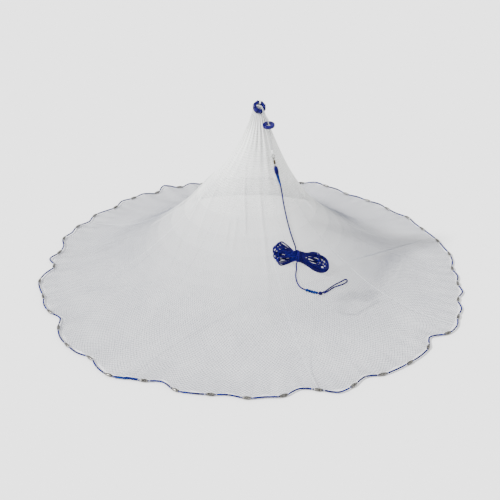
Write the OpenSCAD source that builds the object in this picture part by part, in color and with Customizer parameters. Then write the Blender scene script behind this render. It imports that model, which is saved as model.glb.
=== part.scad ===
// Cast net, spread in a ring on its sinkers with the horn raised. Eight gores of netting run from the
// horn down to a leaded hem; brail lines run under them, out through the horn and on to a swivel; the
// hand line hangs from the swivel, is hanked on the front of the net and ends in a wrist loop.
// Z is up, the floor is z = 0, and the net's axis is x = y = 0. Azimuths are in degrees from +X.

/* [Net] */
// Largest radius that the hem can be drawn out to
hem_radius = 890; // [885:1:895]
// Height at which the profile of the netting meets the axis
cone_height = 722; // [712:1:732]
// Thickness of the netting, knots included
netting_t = 2; // [1.6:0.1:2]
// Gap between two gores, which the seam lacing fills
seam_gap = 3; // [2.8:0.1:4]
// Diameter of the lacing down each seam
lacing_d = 1.6; // [1:0.1:1.8]

/* [Hem] */
// Diameter of the lead line
lead_line_d = 5; // [4:0.1:5]
// Diameter of a sinker at its middle
sinker_d = 12; // [11.4:0.1:12.4]
// Length of a sinker
sinker_l = 30; // [24:0.5:30]
// Diameter of the cord of the hem lashings and the brail ties
lashing_d = 1.2; // [0.8:0.1:1.2]
// Diameter of a brail line
brail_d = 1.6; // [1:0.1:1.6]

/* [Horn] */
// Outer diameter of the horn
horn_d = 50; // [48:0.5:51]
// Diameter of the horn's bore
horn_bore = 26; // [25:0.5:27]
// Length of the horn along its axis
horn_l = 18; // [16:0.5:18]
// Diameter of the lashing holes through both rings
lashing_hole_d = 3.5; // [3:0.1:4]
// Outer diameter of the spreader ring
spreader_d = 48; // [46:0.5:49]
// Diameter of the spreader ring's bore
spreader_bore = 18; // [17.5:0.1:20]
// Length of the spreader ring along its axis
spreader_l = 11; // [9:0.5:12]

/* [Swivel] */
// Diameter of the barrel
barrel_d = 8; // [7.8:0.1:9]
// Length of the barrel
barrel_l = 18; // [17:0.5:19]
// Outer diameter of the round ring above the barrel
swivel_ring_d = 17; // [16:0.5:18]

/* [Hand line] */
// Diameter of the hand line
line_d = 5; // [4:0.1:5]
// Length of the hank
hank_l = 234; // [220:1:240]
// Height of the hank off the net
hank_t = 32; // [28:1:34]
// Diameter of the thick stretch where the wrist loop is spliced
wrist_splice_d = 10; // [8:0.5:10]

/* [Hidden] */

gores = 8;              // netting gores, one node each
sinker_count = 44;      // every fourth gap between sinkers has a brail line
first_sinker = -0.7;    // azimuth of sinker 0
sinker_pitch = 360 / sinker_count;
gore_cells = sinker_count * 2 / gores;   // cells across a gore, so that they keep step with the hem
first_seam = first_sinker - 14.5 * sinker_pitch;   // azimuth of the seam before the first gore
brail_count = sinker_count / 4;
gap = 0.4;              // clearance between neighbouring solids
round_fn = 32;          // segments of a round part
fine_fn = 20;           // segments of a thin round part

// ---- Vectors -------------------------------------------------------------------------------------
function unit(v) = v / norm(v);
function mix(a, b, k) = a * (1 - k) + b * k;
function step(x) = let (k = min(max(x, 0), 1)) k * k * (3 - 2 * k);
// The share x of the way from b to c, on a smooth curve that comes from a and goes on to d
function between(a, b, c, d, x) =
    0.5 * (2 * b + x * (c - a) + x * x * (2 * a - 5 * b + 4 * c - d) + x * x * x * (3 * b - a - 3 * c + d));

// ---- The surface that the netting lies in --------------------------------------------------------
// azimuth a in degrees; u runs from 0 at the horn to 1 at the hem
hem_z = 6;              // height of the netting's middle at the hem
lead_z = sinker_d / 2;  // height of the lead line's middle
neck_r = 20;            // radius of the gathered neck below the horn
neck_u = 0.06;          // where the neck's roundness about the tilted horn has faded out
neck_lean = 36;         // how far the neck leans towards +X
horn_axis = unit([0.33, -0.594, 0.733]);
horn_at = [neck_lean, -6, cone_height + 8];
horn_x = unit([1, 0, 0] - horn_axis * horn_axis.x);
horn_y = cross(horn_axis, horn_x);
neck_drop = horn_l / 2 + 4;   // from the horn's middle down to the netting's edge

// How far the lead line lies outside its smallest ring, at each sinker and in the gap after it
hem_slack = 0.97;       // smallest ring, as a share of hem_radius
hem_out = [
    0, 15, 20, 15, 15, 10, 5, 5, 15, 0, 0, 10, 0, 5, 0, 25, 35, 55, 20, 30, 30, 50,
    45, 45, 45, 35, 5, 30, 5, 60, 0, 30, 20, 30, 0, 10, 20, 0, 20, 10, 20, -10,
    -15, 10, -25, 5, 25, 20, 10, 15, 5, -20, 10, 30, 35, 35, 20, 45, 55, 35, 20, 0,
    30, 30, 25, 20, 35, 30, 30, 0, 20, 55, 40, 15, 35, 40, 40, 40, 30, 0, 45, 55,
    40, 40, 15, 30, 10, 15
];
function out_at(i) = hem_out[(i + 2 * len(hem_out)) % len(hem_out)];
function hem_r(a) =
    let (x = (a - first_sinker) / sinker_pitch * 2, i = floor(x))
    hem_radius * hem_slack + between(out_at(i - 1), out_at(i), out_at(i + 1), out_at(i + 2), x - i);
function draped(a, u) =
    let (r = neck_r + (hem_radius - neck_r) * u + (hem_r(a) - hem_radius) * pow(u, 6))
    [
        neck_lean * exp(-pow(u / 0.16, 2)) + r * cos(a),
        r * sin(a),
        hem_z + (cone_height - hem_z) * pow(1 - u, 2) * exp(-0.4 * sqrt(u))
    ];
function neck_edge(a) =
    horn_at - horn_axis * neck_drop + (neck_r - 1) * (cos(a) * horn_x + sin(a) * horn_y);
function netting_at(a, u) = mix(neck_edge(a), draped(a, u), step(u / neck_u));
function netting_normal(a, u) =
    let (
        d = 0.002,
        low = max(u - d, 0),
        down = netting_at(a, u + d) - netting_at(a, low),
        round = netting_at(a + 0.2, u) - netting_at(a - 0.2, u)
    )
    unit(cross(down, round));
// A point [azimuth, u, lift], which is that far off the netting's middle
function on_net(p) = netting_at(p[0], p[1]) + p[2] * netting_normal(p[0], p[1]);

// ---- Tubes ---------------------------------------------------------------------------------------
function tangents(p) = [for (i = [0 : len(p) - 1]) unit(p[min(i + 1, len(p) - 1)] - p[max(i - 1, 0)])];
function square_to(n, t) = unit(n - t * (n * t));
function carried(t, n, i = 0) =
    i == len(t) ? [] : let (m = square_to(n, t[i])) concat([m], carried(t, m, i + 1));
function ring(p, t, n, r, sides) =
    [for (k = [0 : sides - 1]) p + r * (cos(360 * k / sides) * n + sin(360 * k / sides) * cross(t, n))];
function wall(rings, sides) = [
    for (i = [0 : rings - 2], k = [0 : sides - 1], half = [0, 1])
        let (a = i * sides + k, b = i * sides + (k + 1) % sides)
        half == 0 ? [a, a + sides, b] : [b, a + sides, b + sides]
];

// A tube of radius r through the points, with flat ends; r may be a list, one radius for each point
module tube(points, r, sides) {
    t = tangents(points);
    n = carried(t, abs(t[0].z) > 0.9 ? [1, 0, 0] : [0, 0, 1]);
    radius = is_list(r) ? r : [for (p = points) r];
    last = (len(points) - 1) * sides;
    polyhedron(
        [for (i = [0 : len(points) - 1]) each ring(points[i], t[i], n[i], radius[i], sides)],
        concat(
            wall(len(points), sides),
            [[for (k = [0 : sides - 1]) k]],
            [[for (k = [sides - 1 : -1 : 0]) last + k]]
        )
    );
}

// A closed level loop of radius r through the points
module loop_tube(points, r, sides) {
    count = len(points);
    polyhedron(
        [
            for (i = [0 : count - 1])
                let (
                    t = unit(points[(i + 1) % count] - points[(i + count - 1) % count]),
                    n = square_to([0, 0, 1], t)
                )
                each ring(points[i], t, n, r, sides)
        ],
        [
            for (i = [0 : count - 1], k = [0 : sides - 1], half = [0, 1])
                let (
                    next = (i + 1) % count,
                    a = i * sides + k, b = i * sides + (k + 1) % sides,
                    c = next * sides + k, d = next * sides + (k + 1) % sides
                )
                half == 0 ? [a, c, b] : [b, c, d]
        ]
    );
}

// A smooth curve through the points, with so many steps between each pair
function smooth(p, steps) = concat(
    [
        for (i = [0 : len(p) - 2], s = [0 : steps - 1])
            between(p[max(i - 1, 0)], p[i], p[i + 1], p[min(i + 2, len(p) - 1)], s / steps)
    ],
    [p[len(p) - 1]]
);

// Puts a child's own Z along z, and its X as near x as it goes
module place(at, z, x) {
    k = unit(z);
    j = unit(cross(k, x));
    i = cross(j, k);
    multmatrix([
        [i.x, j.x, k.x, at.x], [i.y, j.y, k.y, at.y], [i.z, j.z, k.z, at.z], [0, 0, 0, 1]
    ]) children();
}

module torus(middle_r, wire_r) {
    rotate_extrude($fn = round_fn) translate([middle_r, 0]) circle(wire_r, $fn = fine_fn);
}

// ---- Netting -------------------------------------------------------------------------------------
rows = [0, 0.015, 0.03, 0.045, 0.06, 0.09, 0.13, 0.18, 0.24, 0.31, 0.38, 0.45, 0.53, 0.62, 0.71, 0.8,
        0.9, 0.987];

module netting_panel(gore) {
    start = first_seam + (gore - 1) * 360 / gores;
    across = gore_cells + 1;
    sheet = [
        for (side = [1, -1], u = rows, c = [0 : gore_cells])
            let (
                r = norm(netting_at(start, u) - netting_at(start + 180, u)) / 2,
                inset = asin(seam_gap / 2 / r),
                a = start + inset + (360 / gores - 2 * inset) * c / gore_cells
            )
            on_net([a, u, side * netting_t / 2])
    ];
    under = across * len(rows);
    last = len(rows) - 1;
    color([0.9, 0.91, 0.92]) polyhedron(
        sheet,
        concat(
            [
                for (i = [0 : last - 1], c = [0 : gore_cells - 1], half = [0, 1])
                    let (a = i * across + c, b = a + across)
                    half == 0 ? [a, a + 1, b] : [a + 1, b + 1, b]
            ],
            [
                for (i = [0 : last - 1], c = [0 : gore_cells - 1], half = [0, 1])
                    let (a = under + i * across + c, b = a + across)
                    half == 0 ? [a, b, a + 1] : [a + 1, b, b + 1]
            ],
            [
                for (i = [0 : last - 1], end = [0, gore_cells], half = [0, 1])
                    let (
                        a = i * across + end, b = a + across,
                        f = half == 0 ? [a, b, a + under] : [b, b + under, a + under]
                    )
                    end == 0 ? f : [f[2], f[1], f[0]]
            ],
            [
                for (i = [0, last], c = [0 : gore_cells - 1], half = [0, 1])
                    let (
                        a = i * across + c,
                        f = half == 0 ? [a, a + under, a + 1] : [a + 1, a + under, a + 1 + under]
                    )
                    i == 0 ? f : [f[2], f[1], f[0]]
            ]
        )
    );
}

module seam_lacing() {
    color([0.95, 0.95, 0.95]) for (s = [0 : gores - 1])
        tube([for (u = rows) netting_at(first_seam + s * 360 / gores, u)], lacing_d / 2, 6);
}

// ---- Hem -----------------------------------------------------------------------------------------
sinker_half = asin(sinker_l / 2 / hem_radius) + 0.03;   // half of the azimuth a sinker covers
function sinker_azimuth(k) = first_sinker + sinker_pitch * k;
// A point on the lead line, the share f of the way across the gap that follows sinker k
function gap_point(k, f) =
    let (a = mix(sinker_azimuth(k) + sinker_half, sinker_azimuth(k + 1) - sinker_half, f))
    [hem_r(a) * cos(a), hem_r(a) * sin(a), lead_z];

module lead_line() {
    corners = [
        for (k = [0 : sinker_count - 1])
            each [gap_point(k - 1, 1), for (f = [0 : 0.25 : 0.75]) gap_point(k, f)]
    ];
    color([0.1, 0.16, 0.5]) loop_tube(corners, lead_line_d / 2, 8);
}

// An olive of lead, bored for the line
module sinkers() {
    bore_r = lead_line_d / 2 + gap;
    mouth_r = bore_r + 0.9;
    bulge = sinker_d / 2 - mouth_r;
    olive = [for (s = [-1 : 0.2 : 1.01]) [mouth_r + bulge * (1 - s * s), s * sinker_l / 2]];
    color([0.5, 0.5, 0.52]) for (k = [0 : sinker_count - 1]) {
        low = gap_point(k - 1, 1);
        high = gap_point(k, 0);
        place((low + high) / 2, high - low, [0, 0, 1]) rotate_extrude($fn = round_fn)
            polygon(concat([[bore_r, -sinker_l / 2]], olive, [[bore_r, sinker_l / 2]]));
    }
}

// A ring of lashing round the lead line, so far from one corner towards the next
lashing_r = lead_line_d / 2 + gap + lashing_d / 2 + 0.1;
module lashing(from, to, distance) {
    place(from + unit(to - from) * distance, to - from, [0, 0, 1]) torus(lashing_r, lashing_d / 2);
}

module hem_lashings() {
    off = 4;            // from a sinker's mouth to its lashing
    color([0.95, 0.95, 0.95]) for (k = [0 : sinker_count - 1]) {
        lashing(gap_point(k, 0), gap_point(k, 0.25), off);
        lashing(gap_point(k, 1), gap_point(k, 0.75), off);
    }
}

// The line's two ends laid over each other across one gap, and the knot in their middle
module lead_line_join() {
    k = 29;
    bore_r = lead_line_d / 2 + gap;
    knot_half = 5;
    knot_bore_r = bore_r + 0.4;
    color([0.15, 0.3, 0.7]) {
        for (f = [0 : 0.25 : 0.75]) {
            low = gap_point(k, f);
            high = gap_point(k, f + 0.25);
            start = f == 0.5 ? knot_half + 1 : f == 0 ? 7 : 1;
            finish = norm(high - low) - (f == 0.25 ? knot_half + 1 : f == 0.75 ? 7 : 1);
            place(low + unit(high - low) * start, high - low, [0, 0, 1]) rotate_extrude($fn = round_fn)
                translate([bore_r, 0]) square([1.6, finish - start]);
        }
        place(gap_point(k, 0.5), gap_point(k, 0.75) - gap_point(k, 0.25), [0, 0, 1])
            rotate_extrude($fn = round_fn) polygon([
                [knot_bore_r, -knot_half], [4.6, -knot_half], [5.9, -2], [5.9, 2], [4.6, knot_half],
                [knot_bore_r, knot_half]
            ]);
    }
}

// ---- Places of the spreader and the swivel --------------------------------------------------------
spreader_at = on_net([-51.5, 0.034, 29]);
spreader_axis = unit([-0.05, -0.17, 0.98]);
// The swivel's own frame: Z down along the hand line, X off the net, middle of the barrel at z = 0
swivel_at = on_net([-49.1, 0.093, 8]);
swivel_axis = unit(on_net([-49.5, 0.116, 8]) - on_net([-48.9, 0.07, 8]));
swivel_out = netting_normal(-49.1, 0.093);
pin_r = 1;              // shank of a swivel eye
head_r = 2.3;           // its head, inside the barrel
cavity_r = 2.7;         // the barrel's hollow
ring_wire = 1;
upper_eye = [3.2, 0.9]; // middle and wire radius
lower_eye = [4.5, 1];
upper_eye_z = -barrel_l / 2 - upper_eye[0] - 2.6;
lower_eye_z = barrel_l / 2 + lower_eye[0] + 2.6;
swivel_ring_r = swivel_ring_d / 2 - ring_wire;
swivel_ring_z = upper_eye_z - 0.4 - swivel_ring_r;
knot_l = 14;
knot_d = 11;
knot_link = [3, 0.9];   // the knot's loop round the swivel's ring
knot_link_z = swivel_ring_z - swivel_ring_r;
function in_swivel(z) = swivel_at + z * swivel_axis;
knot_low = in_swivel(knot_link_z - knot_link[0] - 0.4);
knot_way = unit(knot_low - spreader_at);
knot_at = knot_low - knot_l * knot_way;
slide_way = unit(knot_at - spreader_at);

// ---- Brail lines ---------------------------------------------------------------------------------
brail_lift = -4.5;      // brail lines hang this far under the netting's middle
brail_rows = [0.97, 0.9, 0.8, 0.71, 0.62, 0.53, 0.45, 0.38, 0.31, 0.24, 0.18, 0.13, 0.09, 0.06, 0.045];
// Way of the bundle off the horn's rim, square to the horn's axis
off_rim = unit([0.357, -0.638, -0.685]);
// The bundle's middle [point, spread]: up through the horn, over its rim, down through the spreader
bundle = [
    [[neck_lean - 4, 0, cone_height - 32], 8],
    [horn_at - 14 * horn_axis, 7],
    [horn_at, 6],
    [horn_at + 10 * horn_axis + 1 * off_rim, 5],
    [horn_at + 17 * horn_axis + 7 * off_rim, 4],
    [horn_at + 19 * horn_axis + 17 * off_rim, 3.6],
    [horn_at + 17 * horn_axis + 27 * off_rim, 3.6],
    [horn_at + 9 * horn_axis + 35 * off_rim, 3.6],
    [spreader_at - 24 * slide_way, 3.6],
    [spreader_at, 3.6],
    [mix(spreader_at, knot_at, 0.5), 3.6],
    [knot_at - 0.2 * slide_way, 3.6]
];

function brail_azimuth(j) = sinker_azimuth(4 * j) + sinker_pitch / 2;
function brail_route(j) =
    let (
        a = brail_azimuth(j),
        tie = gap_point(4 * j, 0.5) * (1 - (lashing_r + lashing_d / 2 + gap) / hem_r(a)),
        middles = [for (b = bundle) b[0]],
        t = tangents(middles),
        x = carried(t, horn_x),
        turn = 360 * j / brail_count + brail_azimuth(0)
    )
    concat(
        [[tie.x, tie.y, 4], on_net([a, 0.98, brail_lift + 0.3])],
        [for (u = brail_rows) on_net([a, u, brail_lift])],
        [
            for (i = [0 : len(bundle) - 1])
                middles[i] + bundle[i][1] * (cos(turn) * x[i] + sin(turn) * cross(t[i], x[i]))
        ]
    );

module brail_lines() {
    color([0.93, 0.93, 0.93]) for (j = [0 : brail_count - 1]) tube(brail_route(j), brail_d / 2, 6);
}

module brail_ties() {
    color([0.95, 0.95, 0.95]) for (j = [0 : brail_count - 1]) {
        way = gap_point(4 * j, 0.75) - gap_point(4 * j, 0.25);
        place(gap_point(4 * j, 0.5), way, [0, 0, 1]) torus(lashing_r, lashing_d / 2);
    }
}

// ---- Horn and spreader ---------------------------------------------------------------------------
edge_r = 3;             // rounding of the two rings' edges
hole_count = 8;
hole_at = 19.3;         // radius at which the lashing holes stand

module eyed_ring(d, bore, long) {
    difference() {
        rotate_extrude($fn = 96) union() {
            translate([bore / 2 + edge_r, -long / 2]) square([(d - bore) / 2 - 2 * edge_r, long]);
            translate([bore / 2, -long / 2 + edge_r]) square([(d - bore) / 2, long - 2 * edge_r]);
            for (x = [bore / 2 + edge_r, d / 2 - edge_r], z = [-1, 1])
                translate([x, z * (long / 2 - edge_r)]) circle(edge_r, $fn = round_fn);
        }
        for (k = [0 : hole_count - 1]) rotate(360 * (k + 0.5) / hole_count)
            translate([hole_at, 0, -long]) cylinder(h = 2 * long, d = lashing_hole_d, $fn = fine_fn);
    }
}

module horn_ring() {
    color([0.07, 0.1, 0.5]) place(horn_at, horn_axis, horn_x) eyed_ring(horn_d, horn_bore, horn_l);
}

// One turn of lashing through each hole of the horn and round the outside of its rim
module horn_lashing() {
    wire = 0.8;
    bend = 2.4;
    low_r = hole_at;
    high_r = horn_d / 2 + gap + wire;
    half = horn_l / 2 + gap + wire;
    color([0.95, 0.95, 0.95]) place(horn_at, horn_axis, horn_x)
        for (k = [0 : hole_count - 1]) rotate(360 * (k + 0.5) / hole_count) rotate([90, 0, 0]) union() {
            for (x = [low_r, high_r]) translate([x, bend - half, 0]) rotate([-90, 0, 0])
                cylinder(h = 2 * (half - bend), r = wire, $fn = fine_fn);
            for (y = [-half, half]) translate([low_r + bend, y, 0]) rotate([0, 90, 0])
                cylinder(h = high_r - low_r - 2 * bend, r = wire, $fn = fine_fn);
            for (c = [
                [high_r - bend, half - bend, 0], [low_r + bend, half - bend, 90],
                [low_r + bend, bend - half, 180], [high_r - bend, bend - half, 270]
            ])
                translate([c[0], c[1], 0]) rotate(c[2]) rotate_extrude(angle = 90, $fn = round_fn)
                    translate([bend, 0]) circle(wire, $fn = fine_fn);
        }
}

module spreader_ring() {
    color([0.07, 0.1, 0.5]) place(spreader_at, spreader_axis, [1, 0, 0])
        eyed_ring(spreader_d, spreader_bore, spreader_l);
}

// ---- Swivel --------------------------------------------------------------------------------------
module in_swivel_frame() {
    place(swivel_at, swivel_axis, swivel_out) children();
}

module swivel_ring() {
    color([0.55, 0.55, 0.56]) in_swivel_frame()
        translate([0, 0, swivel_ring_z]) rotate([0, 90, 0]) torus(swivel_ring_r, ring_wire);
}

// An eye, its shank and its head, standing on the barrel's end; side is -1 above and 1 below
module swivel_eye(eye, z, side) {
    inside = barrel_l / 2 - 4;
    union() {
        translate([0, 0, z]) rotate([90, 0, 0]) torus(eye[0], eye[1]);
        shank = abs(z) - eye[0] - inside;
        translate([0, 0, side > 0 ? inside : -inside - shank]) cylinder(h = shank, r = pin_r, $fn = fine_fn);
        translate([0, 0, side > 0 ? inside : -inside - 1.2]) cylinder(h = 1.2, r = head_r, $fn = fine_fn);
    }
}

module swivel_upper_eye() {
    color([0.6, 0.58, 0.52]) in_swivel_frame() swivel_eye(upper_eye, upper_eye_z, -1);
}

module swivel_lower_eye() {
    color([0.85, 0.84, 0.8]) in_swivel_frame() swivel_eye(lower_eye, lower_eye_z, 1);
}

module swivel_barrel() {
    mouth_r = pin_r + gap;
    half = barrel_l / 2;
    color([0.25, 0.22, 0.18]) in_swivel_frame() rotate_extrude($fn = 48) polygon([
        [mouth_r, -half], [barrel_d / 2 - 1.4, -half], [barrel_d / 2, -half + 3],
        [barrel_d / 2, half - 3], [barrel_d / 2 - 1.4, half], [mouth_r, half],
        [mouth_r, half - 2.2], [cavity_r, half - 2.2], [cavity_r, 2.2 - half], [mouth_r, 2.2 - half]
    ]);
}

module brail_knot() {
    r = knot_d / 2;
    color([0.95, 0.95, 0.95]) {
        place(knot_at, knot_way, [1, 0, 0]) rotate_extrude($fn = round_fn) polygon([
            [0, 0], [r - 1.5, 0], [r, 3], [r, knot_l - 5], [r - 3, knot_l], [0, knot_l]
        ]);
        in_swivel_frame() translate([0, 0, knot_link_z]) rotate([90, 0, 0])
            torus(knot_link[0], knot_link[1]);
    }
}

// ---- Hand line -----------------------------------------------------------------------------------
line_r = line_d / 2;
sides = 8;              // sides of a rope's tube
// The eye round the swivel's lower eye, in the swivel's frame: X off the net, Y along it
eye_top = lower_eye_z + 0.4;
eye_r = 5.5;
throat_z = eye_top + 30;
throat_y = line_r + 0.3;
taper_l = 46;
taper_r = line_d + 0.6;
taper_low = on_net([-48.1, 0.157, 6.2]);
taper_at = in_swivel(throat_z + 1);
taper_way = unit(taper_low - taper_at);
// The hank's own frame: X along it, Y up the net, Z off the net
hank_at = on_net([-58.3, 0.381, hank_t / 2 + 4]);
hank_out = netting_normal(-58.3, 0.381);
hank_x = square_to(on_net([-44.7, 0.447, 25]) - on_net([-74.2, 0.342, 25]), hank_out);
hank_y = cross(hank_out, hank_x);
hank_waist = 30;        // half the width of the hank at its waist
hank_off = 8;           // how far the waist is off the middle of its frame
hank_in = [-14, hank_waist + 4];    // where the line enters it, and leaves it below
hank_out_at = [-4, -hank_waist - 3];
hank_bend_r = 1200;     // radius that it droops over, along its length
hank_twist = 0.0016;    // how fast it twists along its length, a mm, with the cone under it
function in_hank(x, y, z) = hank_at + x * hank_x + y * hank_y + z * hank_out;
// Routes as [azimuth, u, lift], by hand
upper_route = [[-49, 0.175, 5.4], [-51, 0.2, 5], [-52.9, 0.23, 5], [-54.5, 0.262, 5], [-55.8, 0.295, 5]];
tail_route = [[-62.2, 0.417, 6], [-63.9, 0.435, 5.2], [-64.8, 0.455, 5], [-64.8, 0.475, 5],
              [-63.9, 0.491, 6]];
splice_route = [[-62.6, 0.502, 7.4], [-60.9, 0.512, 7.6], [-59.2, 0.522, 7.6], [-57.6, 0.531, 7.6]];
knot_route = [[-57.3, 0.533, 9], [-55.6, 0.538, 9]];
loop_route = [[-54.7, 0.5378, 5], [-52.6, 0.533, 5], [-50.2, 0.5288, 5], [-47.8, 0.5268, 5],
              [-45.4, 0.5262, 5], [-43.2, 0.5272, 5], [-41.3, 0.5294, 5], [-39.5, 0.5322, 5],
              [-38.4, 0.5362, 5], [-38.5, 0.5406, 5], [-39.7, 0.5437, 5], [-41.4, 0.544, 5],
              [-43.2, 0.5422, 5], [-45.3, 0.5392, 5], [-47.5, 0.5366, 5], [-49.7, 0.5368, 5],
              [-51.9, 0.5402, 5], [-54.3, 0.5445, 5]];
function on_route(route) = [for (p = route) on_net(p)];

module rope(points, r = line_r) {
    color([0.08, 0.16, 0.62]) tube(points, r, sides);
}

module eye_splice() {
    // half-circle through the swivel's eye, then both legs in to the throat
    arc = [for (a = [0 : 30 : 180]) [-eye_r * cos(a), eye_top + eye_r - eye_r * sin(a)]];
    legs = [[eye_r + 0.6, eye_top + 13], [4.6, eye_top + 21], [throat_y, throat_z]];
    path = concat(
        [for (i = [2 : -1 : 0]) [-legs[i][0], legs[i][1]]],
        arc,
        legs
    );
    in_swivel_frame() rope([for (p = path) [0, p[0], p[1]]]);
}

module splice_taper() {
    color([0.08, 0.16, 0.62]) place(taper_at, taper_way, [1, 0, 0])
        cylinder(h = taper_l - 0.4, r1 = taper_r, r2 = line_r + 0.2, $fn = round_fn);
}

module hand_line_upper() {
    start = taper_at + taper_l * taper_way;
    rope(smooth(concat(
        [start],
        on_route(upper_route),
        [in_hank(hank_in.x, hank_in.y + 11, -10), in_hank(hank_in.x, hank_in.y, -8)]
    ), 3));
}

// Two lobes and a waist, round at both ends, bent and twisted with the netting under it
module hand_line_hank() {
    half = hank_t / 2;
    sections = [
        for (a = [175 : -5 : 5])
            let (
                x = hank_off + cos(a) * (hank_l / 2 + (a < 90 ? 1 : -1) * hank_off),
                y = sin(a) * (hank_waist + 84 * pow(cos(a), 2)),
                z = -x * x / (2 * hank_bend_r),
                tilt = hank_twist * x * y
            )
            [
                [x, -y, z + tilt - half], [x, y, z - tilt - half],
                [x, y, z - tilt + half], [x, -y, z + tilt + half]
            ]
    ];
    last = 4 * (len(sections) - 1);
    color([0.06, 0.12, 0.5]) place(hank_at, hank_out, hank_x) polyhedron(
        [for (s = sections) each s],
        concat(
            [
                for (i = [0 : len(sections) - 2], k = [0 : 3], side = [0, 1])
                    let (a = 4 * i + k, b = 4 * i + (k + 1) % 4)
                    side == 0 ? [a, b, b + 4] : [a, b + 4, a + 4]
            ],
            [[3, 2, 1, 0], [last, last + 1, last + 2, last + 3]]
        )
    );
}

module hand_line_tail() {
    rope(smooth(concat(
        [in_hank(hank_out_at.x, hank_out_at.y, -9), in_hank(hank_out_at.x - 2, hank_out_at.y - 11, -12)],
        on_route(tail_route),
        [mix(on_net(tail_route[4]), on_net(splice_route[0]), 0.93)]
    ), 3));
}

module wrist_splice() {
    r = wrist_splice_d / 2;
    points = smooth(on_route(splice_route), 3);
    last = len(points) - 1;
    rope(points, [for (i = [0 : last]) mix(line_r + 0.3, r, step(min(i, last - i) / 2))]);
}

module wrist_knot() {
    long = 16;
    ends = on_route(knot_route);
    color([0.1, 0.2, 0.66]) place(ends[0], ends[1] - ends[0], [0, 0, 1]) rotate_extrude($fn = round_fn)
        polygon([
            [0, 0], [4.4, 0], [7, 4], [7.4, long / 2], [7, long - 4], [5, long], [0, long]
        ]);
}

module wrist_loop() {
    rope(smooth(on_route(loop_route), 3));
}

netting_panel(1);  // netting_panel_1
netting_panel(2);  // netting_panel_2
netting_panel(3);  // netting_panel_3
netting_panel(4);  // netting_panel_4
netting_panel(5);  // netting_panel_5
netting_panel(6);  // netting_panel_6
netting_panel(7);  // netting_panel_7
netting_panel(8);  // netting_panel_8
seam_lacing();
lead_line();
lead_line_join();
sinkers();
hem_lashings();
brail_lines();
brail_ties();
brail_knot();
horn_ring();
horn_lashing();
spreader_ring();
swivel_ring();
swivel_upper_eye();
swivel_barrel();
swivel_lower_eye();
eye_splice();
splice_taper();
hand_line_upper();
hand_line_hank();
hand_line_tail();
wrist_splice();
wrist_knot();
wrist_loop();
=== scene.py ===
import math

import bpy
import numpy as np
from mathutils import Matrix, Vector


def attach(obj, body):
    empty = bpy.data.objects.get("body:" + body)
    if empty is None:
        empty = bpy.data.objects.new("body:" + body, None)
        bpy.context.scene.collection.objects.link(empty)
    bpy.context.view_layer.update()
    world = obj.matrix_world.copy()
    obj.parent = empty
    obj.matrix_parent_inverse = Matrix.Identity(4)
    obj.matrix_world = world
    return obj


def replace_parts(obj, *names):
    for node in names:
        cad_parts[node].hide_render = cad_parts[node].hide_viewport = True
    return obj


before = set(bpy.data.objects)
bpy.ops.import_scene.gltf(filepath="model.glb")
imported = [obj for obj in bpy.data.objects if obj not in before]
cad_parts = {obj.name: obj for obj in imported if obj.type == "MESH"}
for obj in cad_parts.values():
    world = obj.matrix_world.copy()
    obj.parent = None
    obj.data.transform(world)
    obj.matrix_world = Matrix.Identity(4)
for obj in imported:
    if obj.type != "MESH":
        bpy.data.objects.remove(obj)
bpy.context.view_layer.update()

# A cast net, spread on its sinkers with its horn raised. Lengths are in millimetres here, and become
# metres where an object is made. Azimuths are in degrees from +X; u runs from 0 at the horn to 1 at the hem.
METRE = 0.001


# ---- Vectors and lines ---------------------------------------------------------------------------
def vec(*v):
    return np.array(v, float)


def unit(v):
    return v / np.linalg.norm(v, axis=-1, keepdims=True)


def ease(x):
    x = np.clip(x, 0, 1)
    return x * x * (3 - 2 * x)


def between(a, b, c, d, x):
    """The share x of the way from b to c, on a smooth curve that comes from a and goes on to d."""
    return 0.5 * (2 * b + x * (c - a) + x**2 * (2 * a - 5 * b + 4 * c - d) + x**3 * (3 * b - a - 3 * c + d))


def along(line):
    """How far each point of a line is from its start."""
    return np.concatenate([[0], np.cumsum(np.linalg.norm(np.diff(line, axis=0), axis=1))])


def spaced(line, step):
    """The line with points about step apart."""
    far = along(line)
    at = np.linspace(0, far[-1], max(2, round(far[-1] / step) + 1))
    return np.stack([np.interp(at, far, line[:, k]) for k in range(line.shape[1])], axis=1)


def smooth(points, step, closed=False):
    """A smooth curve through the points, with points about step apart."""
    p = np.asarray(points, float)
    p = np.concatenate([p[-1:], p, p[:2]]) if closed else np.concatenate([p[:1], p, p[-1:]])
    x = np.arange(0, 1, 1 / 12)[:, None]
    fine = [between(p[i], p[i + 1], p[i + 2], p[i + 3], x) for i in range(len(p) - 3)]
    return spaced(np.concatenate(fine + [p[-2:-1]]), step)


def carried(t, first):
    """A direction square to each tangent, carried along the line without twist."""
    n = np.empty_like(t)
    for i, way in enumerate(t):
        first = first - way * (first @ way)
        first = first / np.linalg.norm(first)
        n[i] = first
    return n


def tangents(line, closed=False):
    if closed:
        return unit(np.roll(line, -1, axis=0) - np.roll(line, 1, axis=0))
    return unit(np.gradient(line, axis=0))


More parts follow.
